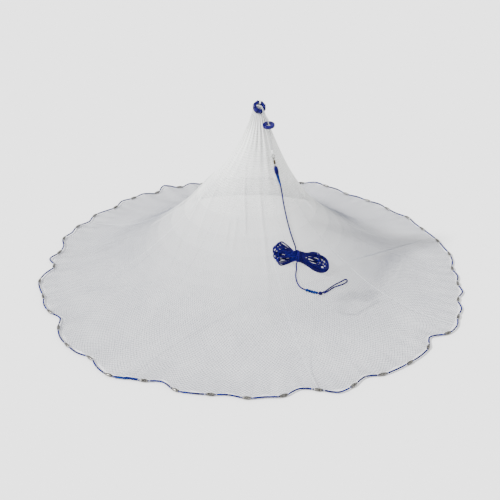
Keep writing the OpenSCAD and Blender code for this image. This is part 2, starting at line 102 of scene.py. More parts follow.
# ---- The surface that the netting lies in, as the CAD has it --------------------------------------
HEM_R, HEM_SLACK, CONE_H, HEM_Z = 890, 0.97, 722, 6
NECK_R, NECK_U, NECK_LEAN, NECK_DROP = 20, 0.06, 36, 13
LEAD_Z, LEAD_R = 6, 3.2  # the lead line's height, and the radius it is drawn at: more than the CAD's
HORN_AXIS = unit(vec(0.33, -0.594, 0.733))
HORN_AT = vec(36, -6, 730)
HORN_X = unit(vec(1, 0, 0) - HORN_AXIS * HORN_AXIS[0])
HORN_Y = np.cross(HORN_AXIS, HORN_X)
SINKERS, FIRST_SINKER, SINKER_L = 44, -0.7, 30
PITCH = 360 / SINKERS
GORES = 8
FIRST_SEAM = FIRST_SINKER - 14.5 * PITCH
SINKER_HALF = math.degrees(math.asin(SINKER_L / 2 / HEM_R)) + 0.03  # half a sinker's azimuth
# How far the lead line lies outside a ring of HEM_SLACK * HEM_R, read off the photo to 5 mm: at each
# sinker and in the gap after it
HEM_OUT = vec(
    0, 15, 20, 15, 15, 10, 5, 5, 15, 0, 0, 10, 0, 5, 0, 25, 35, 55, 20, 30, 30, 50,
    45, 45, 45, 35, 5, 30, 5, 60, 0, 30, 20, 30, 0, 10, 20, 0, 20, 10, 20, -10,
    -15, 10, -25, 5, 25, 20, 10, 15, 5, -20, 10, 30, 35, 35, 20, 45, 55, 35, 20, 0,
    30, 30, 25, 20, 35, 30, 30, 0, 20, 55, 40, 15, 35, 40, 40, 40, 30, 0, 45, 55,
    40, 40, 15, 30, 10, 15,
)


def hem_r(a):
    """How far the lead line is from the middle at azimuths a."""
    x = (np.asarray(a, float) - FIRST_SINKER) / PITCH * 2
    i = np.floor(x).astype(int)
    return HEM_SLACK * HEM_R + between(*(HEM_OUT[(i + k) % len(HEM_OUT)] for k in (-1, 0, 1, 2)), x - i)


def cad_net(a, u):
    """Points of the CAD netting's middle, for arrays of azimuths and u."""
    a, u = np.broadcast_arrays(np.asarray(a, float), np.asarray(u, float))
    ca, sa = np.cos(np.radians(a)), np.sin(np.radians(a))
    r = NECK_R + (HEM_R - NECK_R) * u + (hem_r(a) - HEM_R) * u**6
    z = HEM_Z + (CONE_H - HEM_Z) * (1 - u) ** 2 * np.exp(-0.4 * np.sqrt(u))
    low = np.stack([NECK_LEAN * np.exp(-((u / 0.16) ** 2)) + r * ca, r * sa, z], axis=-1)
    edge = HORN_AT - NECK_DROP * HORN_AXIS + (NECK_R - 1) * (ca[..., None] * HORN_X + sa[..., None] * HORN_Y)
    k = ease(u / NECK_U)[..., None]
    return edge * (1 - k) + low * k


def cad_normal(a, u):
    """The way out of the CAD netting at the same points."""
    a, u = np.broadcast_arrays(np.asarray(a, float), np.asarray(u, float))
    down = cad_net(a, u + 0.002) - cad_net(a, np.maximum(u - 0.002, 0))
    return unit(np.cross(down, cad_net(a + 0.2, u) - cad_net(a - 0.2, u)))


def off_cad_net(a, u, lift):
    """The point that is so far off the CAD netting's middle."""
    return cad_net(a, u) + lift * cad_normal(a, u)


# Folds in the cloth: [azimuth, u] along each, its half width and its height off the net
FOLDS = [
    ([(-117, 0.08), (-105, 0.14), (-100, 0.18), (-95, 0.25), (-94, 0.3)], 5, 6),
    ([(-105, 0.22), (-103, 0.29), (-103, 0.35)], 6, 5),
    ([(-111, 0.24), (-109, 0.3), (-108, 0.35)], 5, 5),
    ([(-167, 0.2), (-155, 0.25), (-147, 0.32), (-140, 0.4), (-135, 0.5)], 9, 7),
    ([(-150, 0.16), (-138, 0.26), (-130, 0.36), (-126, 0.45)], 8, 5),
    ([(-84, 0.12), (-80, 0.2), (-79, 0.3), (-80, 0.42), (-82, 0.55)], 8, 5),
    ([(-38, 0.48), (-31, 0.487), (-11, 0.56), (10, 0.745), (17, 0.97)], 8, 9),
    ([(-27, 0.47), (-8, 0.55), (12, 0.76)], 12, -5),
    ([(-20, 0.1), (-14, 0.2), (-10, 0.3)], 8, 5),
    ([(60, 0.15), (55, 0.3), (58, 0.5)], 12, 7),
    ([(110, 0.12), (116, 0.3), (112, 0.6)], 12, 7),
    ([(160, 0.14), (168, 0.3), (165, 0.5)], 10, 6),
]


def folds(a, u, p):
    """How far the cloth stands off the CAD netting's middle at points p."""
    flat = p[..., :2]
    lift = np.zeros(a.shape)
    for route, wide, high in FOLDS:
        line = smooth(cad_net(*np.transpose(route))[:, :2], 12)
        share = np.linspace(0, 1, len(line))
        best, where = np.full(a.shape, 1e9), np.zeros(a.shape)
        for i in range(len(line) - 1):
            d = line[i + 1] - line[i]
            t = np.clip((flat - line[i]) @ d / (d @ d), 0, 1)
            off = np.linalg.norm(flat - line[i] - t[..., None] * d, axis=-1)
            closer = off < best
            best, where = np.where(closer, off, best), np.where(closer, share[i] + t / len(line), where)
        fade = ease(where / 0.18) * ease((1 - where) / 0.18)
        lift += high * fade * np.exp(-((best / wide) ** 2))
    wander = a * 22 + 40 * np.sin(np.radians(3 * a))
    pleats = 2.6 * np.exp(-((u / 0.13) ** 2)) * ease(u / 0.02) * np.cos(np.radians(wander))
    x, y = flat[..., 0] / 150, flat[..., 1] / 150
    swell = np.sin(2.1 * x + 1.3 * y + 0.6) + np.sin(-1.2 * x + 2.6 * y + 2) + 0.6 * np.sin(4.3 * x - 2.2 * y)
    swell = swell * 1.5 * ease((u - 0.12) / 0.2)
    pinch = ease((u - 0.8) / 0.19) * 2.2 * np.cos(np.radians((a - FIRST_SINKER) * 2 * SINKERS))
    # Folds die out near the ground, where there is no room under the cloth
    room = np.minimum(1, np.maximum(p[..., 2] - 2, 0) / 14)
    return lift * np.minimum(1, room + 0.25 * (lift > 0)) + pleats + swell * room + np.maximum(pinch, -1.5)


def net(a, u, lift=0):
    """Points so far off the cloth."""
    a, u = np.broadcast_arrays(np.asarray(a, float), np.asarray(u, float))
    p = cad_net(a, u)
    return p + (folds(a, u, p) + lift)[..., None] * cad_normal(a, u)


def on_net(route):
    """The points of a route of (azimuth, u, lift); lift is REST where none is given."""
    a, u, lift = np.transpose([(*point, REST)[:3] for point in route])
    return net(a, u, lift)


def hem_point(k, f):
    """A point of the lead line, the share f of the way across the gap that follows sinker k."""
    low = FIRST_SINKER + PITCH * k + SINKER_HALF
    a = low + (PITCH - 2 * SINKER_HALF) * f
    return vec(hem_r(a) * math.cos(math.radians(a)), hem_r(a) * math.sin(math.radians(a)), LEAD_Z)


# ---- Camera ---------------------------------------------------------------------------------------
ELEVATION, CAMERA_OFF = math.radians(30.3), 4.005  # how high it looks from, and metres from the origin
camera = bpy.data.objects.new("camera", bpy.data.cameras.new("camera"))
bpy.context.scene.collection.objects.link(camera)
camera.location = (0, -CAMERA_OFF * math.cos(ELEVATION), CAMERA_OFF * math.sin(ELEVATION))
camera.rotation_euler = (math.pi / 2 - ELEVATION, 0, 0)
camera.data.lens = 67.25
camera.data.shift_y = 0.0368
bpy.context.scene.camera = camera


# ---- Materials ------------------------------------------------------------------------------------
class Look:
    """One material, whose nodes are added by short calls."""

    def __init__(self, name, roughness, **sockets):
        self.material = bpy.data.materials.new(name)
        self.material.use_nodes = True
        self.tree = self.material.node_tree
        self.shader = self.tree.nodes["Principled BSDF"]
        self.set("Roughness", roughness)
        for socket, value in sockets.items():
            self.set(socket.replace("_", " "), value)

    def set(self, socket, value):
        self.put(self.shader.inputs[socket], value)

    def put(self, socket, value):
        if isinstance(value, bpy.types.NodeSocket):
            self.tree.links.new(value, socket)
        elif socket.type == "RGBA" and len(value) == 3:
            socket.default_value = (*value, 1)
        else:
            socket.default_value = value

    def node(self, kind, **attributes):
        n = self.tree.nodes.new("ShaderNode" + kind)
        for k, v in attributes.items():
            setattr(n, k, v)
        return n

    def math(self, operation, *values):
        n = self.node("Math", operation=operation)
        for socket, v in zip(n.inputs, values):
            self.put(socket, v)
        return n.outputs[0]

    def mix(self, factor, a, b):
        n = self.node("Mix", data_type="RGBA")
        self.put(n.inputs[0], factor)
        self.put(n.inputs[6], a)
        self.put(n.inputs[7], b)
        return n.outputs[2]

    def span(self, value, low, high, to_low=0.0, to_high=1.0):
        """value from low to high, mapped smoothly on to_low to to_high."""
        n = self.node("MapRange", interpolation_type="SMOOTHSTEP")
        for socket, v in zip(n.inputs, (value, low, high, to_low, to_high)):
            self.put(socket, v)
        return n.outputs[0]

    def noise(self, scale, detail=3.0, stretch=None):
        n = self.node("TexNoise")
        self.put(n.inputs["Scale"], scale)
        self.put(n.inputs["Detail"], detail)
        place = self.node("TexCoord").outputs["Object"]
        if stretch:
            m = self.node("Mapping")
            m.inputs["Scale"].default_value = stretch
            self.put(m.inputs["Vector"], place)
            place = m.outputs[0]
        self.put(n.inputs["Vector"], place)
        return n.outputs[0]

    def bump(self, height, distance, strength=1.0):
        n = self.node("Bump")
        self.put(n.inputs["Strength"], strength)
        self.put(n.inputs["Distance"], distance)
        self.put(n.inputs["Height"], height)
        self.set("Normal", n.outputs[0])

    def route(self):
        """How far round and along its tube a point is, both in turns of its girth."""
        uv = self.node("UVMap", uv_map="route").outputs[0]
        n = self.node("SeparateXYZ")
        self.put(n.inputs[0], uv)
        return n.outputs[0], n.outputs[1]


def braid(name, dark, mid, painted_highlight, pairs=4, slant=0.8, depth=0.0004, roughness=0.42):
    """A braided cord: strands cross over and under each other, with painted shade between them and a painted
    highlight in patches on their crowns.
    """
    look = Look(name, roughness, Specular_IOR_Level=0.05)
    u, v = look.route()
    v = look.math("MULTIPLY", v, slant)
    hills, cells = [], []
    for operation in ("ADD", "SUBTRACT"):
        turns = look.math("MULTIPLY", look.math(operation, u, v), float(pairs))
        cells.append(look.math("FLOOR", turns))
        hills.append(look.math("ABSOLUTE", look.math("SINE", look.math("MULTIPLY", turns, math.pi))))
    over = look.math("MODULO", look.math("ABSOLUTE", look.math("ADD", *cells)), 2.0)
    over = look.span(over, 0.4, 0.6)
    rest = look.math("SUBTRACT", 1.0, over)
    height = look.math("ADD", look.math("MULTIPLY", hills[0], over), look.math("MULTIPLY", hills[1], rest))
    fleck = look.noise(260.0, 4.0)
    patch = look.noise(24.0, 2.0)
    # Painted highlight: patches of the bright colour on the strands' crowns
    highlight_spots = look.math("ADD", fleck, look.math("MULTIPLY", patch, 0.8))
    top = look.mix(look.span(highlight_spots, 0.72, 1.15), mid, painted_highlight)
    # Painted shade: dark in the grooves where the strands go under each other
    look.set("Base Color", look.mix(look.span(height, 0.1, 0.75), dark, top))
    look.set("Roughness", look.span(fleck, 0.3, 0.7, roughness - 0.08, roughness + 0.12))
    look.bump(look.math("ADD", height, look.math("MULTIPLY", fleck, 0.25)), depth)
    return look.material


def laid(name, shade, light, strands=3, depth=0.0002, roughness=0.5, shine=0.4, alpha=1.0):
    """A cord laid up of twisted strands, painted with shade in the grooves between them and light on their
    crowns.
    """
    look = Look(name, roughness, Specular_IOR_Level=shine, Alpha=alpha)
    u, v = look.route()
    turns = look.math("MULTIPLY", look.math("ADD", u, look.math("MULTIPLY", v, 0.7)), float(strands))
    height = look.math("ABSOLUTE", look.math("SINE", look.math("MULTIPLY", turns, math.pi)))
    fleck = look.noise(300.0, 3.0)
    # Painted shade and light: shade in the grooves and light on the crowns, with a fine fleck
    crown_light_and_fleck = look.math("ADD", height, look.math("MULTIPLY", fleck, 0.4))
    look.set("Base Color", look.mix(look.span(crown_light_and_fleck, 0.15, 0.9), shade, light))
    look.bump(look.math("ADD", height, look.math("MULTIPLY", fleck, 0.3)), depth)
    return look.material


# Each braid's colours are its painted groove shade, its own blue and its painted highlight
ROPE = braid("blue_braid", (0.0008, 0.0002, 0.008), (0.0036, 0.0006, 0.052), (0.009, 0.0042, 0.15))
SPLICE = braid(
    "light_blue_splice", (0.0006, 0.002, 0.02), (0.002, 0.012, 0.11), (0.006, 0.045, 0.28), pairs=3, slant=0.5
)
LEAD_ROPE = braid(
    "lead_line_braid", (0.0006, 0.0005, 0.006), (0.002, 0.002, 0.045), (0.006, 0.016, 0.2), pairs=3
)
# Each laid cord's colours are its painted groove shade and its painted crown light
NAVY = laid("navy_thread", (0.0003, 0.0004, 0.005), (0.0008, 0.001, 0.035), roughness=0.6, shine=0.05)
THREAD = laid("white_thread", (0.42, 0.43, 0.44), (0.86, 0.87, 0.86))
LACING = laid("seam_thread", (0.4, 0.42, 0.44), (0.78, 0.8, 0.82))
BRAIL = laid("brail_thread", (0.22, 0.23, 0.24), (0.6, 0.61, 0.62), depth=0.0001, roughness=0.35, alpha=0.36)


def netting_film():
    """The haze of the finest meshes between the strands: cloth that lets most light through."""
    look = Look("netting_haze", 0.75, Alpha=0.31, Specular_IOR_Level=0.1)
    place = look.node("TexCoord").outputs["Object"]
    split = look.node("SeparateXYZ")
    look.put(split.inputs[0], place)
    height = split.outputs[2]
    # Painted shade: dark grey low down and white up on the cone, standing in for the net's shadow on the
    # floor seen through the haze
    shade = look.mix(look.span(height, 0.05, 0.5), (0.28, 0.29, 0.335), (0.9, 0.91, 0.87))
    streak = look.noise(9.0, 5.0)
    fine = look.noise(140.0, 2.0)
    cloud = look.math("ADD", streak, look.math("MULTIPLY", fine, 0.5))
    look.set("Base Color", look.mix(look.span(cloud, 0.5, 1.1), shade, (0.52, 0.53, 0.56)))
    look.bump(fine, 0.0006, 0.5)
    return look.material


def netting_strand(name, shade):
    """Bare nylon, the same all over: its strands are thinner than any detail on them."""
    look = Look(name, 0.3, Specular_IOR_Level=0.4)
    look.set("Base Color", shade)
    return look.material


def glossy_plastic():
    """Moulded plastic with a slight swirl under its gloss and fine scuffs."""
    look = Look("navy_plastic", 0.16, Coat_Weight=0.05, Coat_Roughness=0.06, Specular_IOR_Level=0.1)
    cloud = look.noise(60.0, 2.0)
    scuff = look.noise(420.0, 6.0, (1.0, 1.0, 6.0))
    grain = look.noise(1800.0, 2.0)
    base = look.mix(look.span(cloud, 0.3, 0.7), (0.0032, 0.0005, 0.055), (0.005, 0.001, 0.095))
    look.set("Base Color", look.mix(look.span(scuff, 0.66, 0.8, 0.0, 0.35), base, (0.012, 0.012, 0.2)))
    look.set("Roughness", look.span(scuff, 0.4, 0.75, 0.14, 0.42))
    look.bump(look.math("ADD", cloud, look.math("MULTIPLY", grain, 0.15)), 0.0004, 0.35)
    return look.material


def metal(name, dark, light, roughness, bare, bump=0.0002):
    """Blotched metal that scratches have laid bare."""
    look = Look(name, roughness, Metallic=1.0)
    blotch = look.noise(220.0, 5.0)
    scratch = look.noise(900.0, 4.0, (1.0, 1.0, 0.15))
    base = look.mix(look.span(blotch, 0.35, 0.65), dark, light)
    look.set("Base Color", look.mix(look.span(scratch, 0.6, 0.78, 0.0, 0.6), base, bare))
    look.set("Roughness", look.span(blotch, 0.3, 0.7, roughness - 0.1, roughness + 0.14))
    look.bump(look.math("ADD", blotch, look.math("MULTIPLY", scratch, 0.4)), bump, 0.6)
    return look.material


FILM = netting_film()
PLASTIC = glossy_plastic()
# Painted shade: one nylon, painted white on the gathered meshes of the cone and greyer on the open ones
# towards the hem, where the grey stands in for the net's shadow on the floor seen through it: one material
# for each stretch from the horn to the hem
STRETCHES = np.linspace(0.1, 0.6, 9)
WHITE, SHADED_GREY = vec(0.88, 0.89, 0.87), vec(0.13, 0.14, 0.18)
STRANDS = []
for k in range(len(STRETCHES) + 1):
    shade = WHITE + (SHADED_GREY - WHITE) * ease(k / len(STRETCHES))
    STRANDS.append(netting_strand("netting_stretch_%d" % k, tuple(float(x) for x in shade)))
LEAD = metal("worn_lead", (0.035, 0.033, 0.03), (0.2, 0.195, 0.185), 0.26, (0.5, 0.49, 0.46), 0.0005)
STEEL = metal("swivel_steel", (0.1, 0.1, 0.1), (0.25, 0.25, 0.245), 0.28, (0.5, 0.5, 0.49))
BRASS = metal("dark_brass", (0.015, 0.012, 0.008), (0.09, 0.07, 0.045), 0.34, (0.35, 0.28, 0.18))
PALE = metal("pale_wire", (0.3, 0.29, 0.26), (0.5, 0.49, 0.46), 0.25, (0.8, 0.79, 0.75))


# ---- Making pieces --------------------------------------------------------------------------------
class Piece:
    """Gathers tubes and grids of faces, and makes them one object."""

    def __init__(self):
        self.points, self.faces, self.uv, self.count = [], [], [], 0

    def add(self, points, faces, uv):
        self.points.append(points)
        self.faces.append(faces + self.count)
        self.uv.append(uv)
        self.count += len(points)

    def tube(self, line, radius, sides=8, closed=False, lobes=None, oval=None, first=None):
        """A tube along the line. lobes is (number, share of the radius, length of a turn) of twisted strands;
        oval is (direction, times) for a tube that is wider that way; first is where its girth starts."""
        line = np.asarray(line, float)
        t = tangents(line, closed)
        if first is None:
            first = vec(0, 0, 1) if abs(t[0][2]) < 0.9 else vec(1, 0, 0)
        n = carried(t, first)
        if closed:
            n = unit(vec(0, 0, 1) - t * t[:, 2:])
        b = np.cross(t, n)
        r = np.broadcast_to(np.asarray(radius, float), len(line)).astype(float)
        far = along(line)
        if not closed:  # round ends
            tip = r[[0, -1]] * 0.35
            line = np.concatenate([[line[0] - t[0] * tip[0]], line, [line[-1] + t[-1] * tip[1]]])
            line = np.concatenate([line[:1], line, line[-1:]])
            n, b = (np.concatenate([x[:1], x[:1], x, x[-1:], x[-1:]]) for x in (n, b))
            r = np.concatenate([[r[0] * 0.02, r[0] * 0.7], r, [r[-1] * 0.7, r[-1] * 0.02]])
            far = np.concatenate([[far[0]] * 2, far, [far[-1]] * 2])
        angle = 2 * math.pi * np.arange(sides) / sides
        rr = np.repeat(r[:, None], sides, axis=1)
        if lobes:
            number, share, turn = lobes
            twist = angle[None, :] + 2 * math.pi * far[:, None] / turn
            rr = rr * (1 - share + share * np.abs(np.cos(number / 2 * twist)))
        out = np.cos(angle)[None, :, None] * n[:, None, :] + np.sin(angle)[None, :, None] * b[:, None, :]
        across = rr[..., None] * out
        if oval is not None:
            way, times = oval
            across = across + (times - 1) * (across @ way)[..., None] * way
        points = (line[:, None, :] + across).reshape(-1, 3)
        rows = len(line) if closed else len(line) - 1
        i, k = np.meshgrid(np.arange(rows), np.arange(sides), indexing="ij")
        j, m = (i + 1) % len(line), (k + 1) % sides
        faces = np.stack([i * sides + k, i * sides + m, j * sides + m, j * sides + k], axis=-1).reshape(-1, 4)
        girth = 2 * math.pi * float(np.median(r))
        far = np.append(far, far[-1] + np.linalg.norm(line[0] - line[-1])) / girth
        u = np.stack([k, k + 1, k + 1, k], axis=-1) / sides
        v = far[np.stack([i, i, i + 1, i + 1], axis=-1)]
        self.add(points, faces, np.stack([u, v], axis=-1).reshape(-1, 2))

    def grid(self, points):
        """A sheet of faces through rows of points."""
        rows, columns = points.shape[:2]
        i, k = np.meshgrid(np.arange(rows - 1), np.arange(columns - 1), indexing="ij")
        at = i * columns + k
        faces = np.stack([at, at + columns, at + columns + 1, at + 1], axis=-1).reshape(-1, 4)
        u = np.stack([k, k, k + 1, k + 1], axis=-1)
        v = np.stack([i, i + 1, i + 1, i], axis=-1)
        self.add(points.reshape(-1, 3), faces, np.stack([u, v], axis=-1).reshape(-1, 2).astype(float))

    def make(self, name, body, material):
        """The gathered faces as one object that rides on a body."""
        points, faces, uv = (np.concatenate(x) for x in (self.points, self.faces, self.uv))
        mesh = bpy.data.meshes.new(name)
        mesh.vertices.add(len(points))
        mesh.vertices.foreach_set("co", (points * METRE).astype(np.float32).ravel())
        mesh.loops.add(faces.size)
        mesh.loops.foreach_set("vertex_index", faces.astype(np.int32).ravel())
        mesh.polygons.add(len(faces))
        mesh.polygons.foreach_set("loop_start", np.arange(0, faces.size, 4, dtype=np.int32))
        mesh.update(calc_edges=True)
        mesh.shade_smooth()
        mesh.uv_layers.new(name="route").data.foreach_set("uv", uv.astype(np.float32).ravel())
        mesh.materials.append(material)
        made = bpy.data.objects.new(name, mesh)
        bpy.context.scene.collection.objects.link(made)
        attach(made, body)
        return made


def helix(line, radius, turns, start=0.0, oval=None, first=None, step=1.5):
    """A line that winds round another; radius is a number or one for each point of the line."""
    line = spaced(line, step)
    t = tangents(line)
    n = carried(t, vec(0, 0, 1) if first is None else first)
    r = np.interp(np.linspace(0, 1, len(line)), np.linspace(0, 1, np.size(radius)), np.atleast_1d(radius))
    angle = math.radians(start) + 2 * math.pi * turns * np.linspace(0, 1, len(line))
    off = r[:, None] * (np.cos(angle)[:, None] * n + np.sin(angle)[:, None] * np.cross(t, n))
    if oval is not None:
        way, times = oval
        off = off + (times - 1) * (off @ way)[:, None] * way
    return line + off


# ---- The hand line's route ------------------------------------------------------------------------
# The swivel's own frame: its middle, down the line, out from the net, and aside
SWIVEL_AT = off_cad_net(-49.1, 0.093, 8)
SWIVEL_AXIS = unit(off_cad_net(-49.5, 0.116, 8) - off_cad_net(-48.9, 0.07, 8))
SWIVEL_OUT = cad_normal(-49.1, 0.093)
SWIVEL_SIDE = np.cross(SWIVEL_AXIS, SWIVEL_OUT)


def in_swivel(x, y, z):
    """A point of the swivel's own frame: out from the net, aside, and down the line."""
    return SWIVEL_AT + x * SWIVEL_OUT + y * SWIVEL_SIDE + z * SWIVEL_AXIS


EYE_TOP, EYE_R, TAPER_L = 16.5, 5.5, 46
TAPER_AT = in_swivel(0, 0, EYE_TOP + 31)
TAPER_WAY = unit(off_cad_net(-48.1, 0.157, 6.2) - TAPER_AT)
# The hank's own frame: its middle, out from the net, along it, and up the net
HANK_AT = off_cad_net(-58.3, 0.381, 20)
HANK_OUT = cad_normal(-58.3, 0.381)
hank_way = off_cad_net(-44.7, 0.447, 25) - off_cad_net(-74.2, 0.342, 25)
HANK_X = unit(hank_way - HANK_OUT * (hank_way @ HANK_OUT))
HANK_Y = np.cross(HANK_OUT, HANK_X)
LINE_R = 2.75
REST = LINE_R + 0.7  # a rope's middle off the cloth it lies on
HANK_ROOM = 26  # the wraps press the pile of turns down towards this height
WRAPS, WAIST = 7, 20.5  # times round the hank's waist, and half the waist's width
WRAP_LIFT = 5.2  # how far the wraps' undersides lift every turn at the waist

# The cloth under the hank, as points and their facings in the hank's own frame
HANK_AXES = np.stack([HANK_X, HANK_Y, HANK_OUT])
grid_a, grid_u = np.meshgrid(np.linspace(-95, -25, 200), np.linspace(0.2, 0.56, 130))
under = (net(grid_a, grid_u).reshape(-1, 3) - HANK_AT) @ HANK_AXES.T
facing = cad_normal(grid_a, grid_u).reshape(-1, 3) @ HANK_AXES.T


def floor_under(xy):
    """The cloth's height under points of the hank's own frame, off that frame's middle."""
    near = np.array([np.argmin(((under[:, :2] - p) ** 2).sum(1)) for p in xy])
    slope = -facing[near, :2] / facing[near, 2:]
    return under[near, 2] + ((xy - under[near, :2]) * slope).sum(1)


# Each turn of the hank: its right and left lobes' tilt, width and length, and where it crosses the waist
# on its way to the right and back to the left
TURNS = [
    ((0, 74, 131), (46, 26, 94), 14, -14),
    ((-4, 64, 128), (-46, 24, 86), 8.5, -8.5),
    ((10, 56, 124), (16, 30, 104), 3, -3),
    ((-11, 48, 121), (-14, 28, 99), 11, -11),
    ((14, 34, 118), (34, 26, 98), 5.5, -5.5),
    ((-6, 66, 130), (-34, 26, 92), 14, 0),
    ((3, 38, 103), (5, 28, 104), 8, -14),
    ((-20, 26, 112), (25, 28, 100), 0, -8),
    ((24, 26, 108), (-5, 26, 99), 12, 5),
    ((2, 58, 127), (-24, 28, 95), 9, -11),
    ((-2, 24, 96), (11, 24, 90), 4, -4),
    ((-13, 30, 117), (-10, 24, 86), 13, -13),
]


def lobe(side, tilt, wide, long, first):
    """The points round one round-ended lobe; first is 1 to start above its middle and -1 below."""
    r = wide / 2
    way = [(0.3 * long, 0.6 * r), (0.55 * long, 0.95 * r)]
    end = [(long - r + r * math.sin(t), r * math.cos(t)) for t in np.radians([10, 50, 90, 130, 170])]
    shape = way + end + [(x, -y) for x, y in reversed(way)]
    turn = math.atan2(tilt, long)
    c, s = math.cos(turn), math.sin(turn)
    return [(side * (x * c - first * y * s), x * s + first * y * c) for x, y in shape]


def hank_plan():
    """The turns in plan, one list of points each; a small last turn runs on into the wraps."""
    turns = []
    for right, left, high, low in TURNS:
        turns.append([(0, high), *lobe(1, *right, 1), (0, low), *lobe(-1, *left, -1)])
    turns.append([
        (0, 8), *lobe(1, 10, 52, 86, 1), (0, -14), (-30, -28), (-58, -41), (-76, -42), (-84, -32), (-76, -22),
        (-56, -20), (-36, -3), (-19, 18), (0, 17), (30, 24), (50, 38), (68, 45), (82, 40), (86, 29), (76, 20),
        (58, 14), (40, 4), (31, -2),
    ])
    return turns


def laid_turns(plan):
    """The turns' points in plan, and how high each lies when each turn is laid on those before it."""
    entry = [(-14, 44), (-14, 34), (-12, 24), (-7, 17)]
    into_wraps = [(26, -6)]
    closest = 2 * LINE_R * 0.98
    laid_xy, laid_h = np.zeros((0, 2)), np.zeros(0)
    for k, turn in enumerate(plan):
        before = entry if k == 0 else [plan[k - 1][-1]]
        after = plan[k + 1][:2] if k + 1 < len(plan) else into_wraps
        points = smooth(before + turn + after, 2)
        start = 0 if k == 0 else np.argmin(np.linalg.norm(points[:40] - turn[0], axis=1))
        finish = len(points)
        if k + 1 < len(plan):
            finish = len(points) - 60 + np.argmin(np.linalg.norm(points[-60:] - after[0], axis=1))
        points = points[start:finish]
        at_waist = ease((34 - np.abs(points[:, 0])) / 12) * ease((28 - np.abs(points[:, 1])) / 10)
        need = WRAP_LIFT * at_waist + REST
        if len(laid_xy):
            old_xy, old_h = laid_xy[:-8], laid_h[:-8]
            off = np.linalg.norm(points[:, None] - old_xy[None], axis=-1)
            rise = np.sqrt(np.maximum(closest**2 - off**2, 0))
            need = np.maximum(need, np.where(off < closest, old_h[None] + rise, 0).max(axis=1))
        wide = np.array([need[max(i - 2, 0) : i + 3].max() for i in range(len(need))])
        even = np.array([wide[max(i - 5, 0) : i + 6].mean() for i in range(len(wide))])
        if len(laid_h):
            even[:8] = laid_h[-1] + (even[:8] - laid_h[-1]) * np.linspace(0, 1, 8)
        laid_xy, laid_h = np.concatenate([laid_xy, points]), np.concatenate([laid_h, even])
    return laid_xy, laid_h


def boxy(x):
    """A sine or cosine made squarer, so that wraps are flat on top and straight at the sides."""
    return np.sign(x) * np.abs(x) ** 0.8


def waist_wraps(turns):
    """The wraps round the pile of turns, and the line's way out from under the last one."""
    at_waist = (np.abs(turns[:, 0]) < 20) & (np.abs(turns[:, 1]) < 22)
    top = turns[at_waist, 2].max() + 2 * LINE_R
    low = floor_under(vec(0, 0)[None])[0] + REST
    first, last = 115, 145 + 360 * WRAPS
    turn = np.linspace(first, last, 60 * WRAPS)
    across, upward = boxy(np.cos(np.radians(turn))), boxy(np.sin(np.radians(turn)))
    wraps = np.column_stack([
        np.interp(turn, [first, last - 180, last], [24, -17, -6]),
        WAIST * across,
        (top + low) / 2 + (top - low) / 2 * upward + 4 * ease((turn - last + 150) / 60),
    ])
    away = vec((-5, -25), (-5, -33))
    return np.concatenate([wraps, np.column_stack([away, floor_under(away) + vec(9, REST + 1)])])


def hank_route():
    """The hank's line, from the first turn to the way out of the wraps."""
    laid_xy, laid_h = laid_turns(hank_plan())
    pressed = REST + HANK_ROOM * (1 - np.exp((REST - laid_h) / HANK_ROOM))
    turns = np.column_stack([laid_xy, floor_under(laid_xy) + pressed])
    return HANK_AT + np.concatenate([turns, waist_wraps(turns)]) @ HANK_AXES


hank_line = hank_route()
UPPER = [(-49, 0.175), (-51, 0.2), (-52.9, 0.23), (-54.5, 0.262), (-55.8, 0.295)]
TAIL = [(-62.2, 0.417), (-63.9, 0.435), (-64.8, 0.455), (-64.8, 0.475), (-63.9, 0.491, 4.5)]
SPLICE_ROUTE = [(-62.6, 0.502, 6), (-60.9, 0.512, 6.4), (-59.2, 0.522, 6.4), (-57.6, 0.531, 6.8)]
KNOT_ROUTE = [(-57.3, 0.533, 7.6), (-55.6, 0.538, 7.6)]
LOOP = [
    (-55, 0.5345, 6), (-52.6, 0.5325), (-50.2, 0.5288), (-47.8, 0.5268), (-45.4, 0.5262), (-43.2, 0.5272),
    (-41.3, 0.5284), (-39.35, 0.5294), (-38.65, 0.5312), (-38.4, 0.5355), (-38.65, 0.5399), (-39.45, 0.5418),
    (-41.3, 0.5414), (-43.2, 0.5393), (-45.3, 0.5364), (-47.5, 0.5342), (-49.7, 0.5349), (-51.9, 0.5377),
    (-55, 0.5405, 7),
]
out_of_taper = [TAPER_AT + TAPER_WAY * x for x in (0, 15, 30, TAPER_L)]
start_line = smooth(np.concatenate([out_of_taper, on_net(UPPER), hank_line[2:3]]), 2)
end_line = smooth(np.concatenate([hank_line[-1:], on_net(TAIL + SPLICE_ROUTE + KNOT_ROUTE[:1] + LOOP)]), 2)
whole = spaced(np.concatenate([start_line[:-1], hank_line[2:-1], end_line]), 2)
ends = whole[[0, -1]].copy()
for _ in range(3):
    whole[1:-1] = (whole[:-2] + 2 * whole[1:-1] + whole[2:]) / 4
hand_path = spaced(whole, 2.4)
hand_path[[0, -1]] = ends

piece = Piece()
piece.tube(hand_path, LINE_R, 10)
hand_line = piece.make("hand_line_rope", "root", ROPE)
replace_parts(hand_line, "hand_line_upper", "hand_line_hank", "hand_line_tail", "wrist_loop")

# The taper that the eye's splice runs out in, the wrist loop's splice and its knot
piece = Piece()
taper = spaced(np.stack([TAPER_AT, TAPER_AT + (TAPER_L - 0.4) * TAPER_WAY]), 1.5)
piece.tube(taper, np.interp(along(taper), [0, 14, TAPER_L], [6.2, 5.4, 3.3]), 18, lobes=(4, 0.14, 34))
splice_taper = piece.make("splice_taper_rope", "root", SPLICE)
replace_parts(splice_taper, "splice_taper")

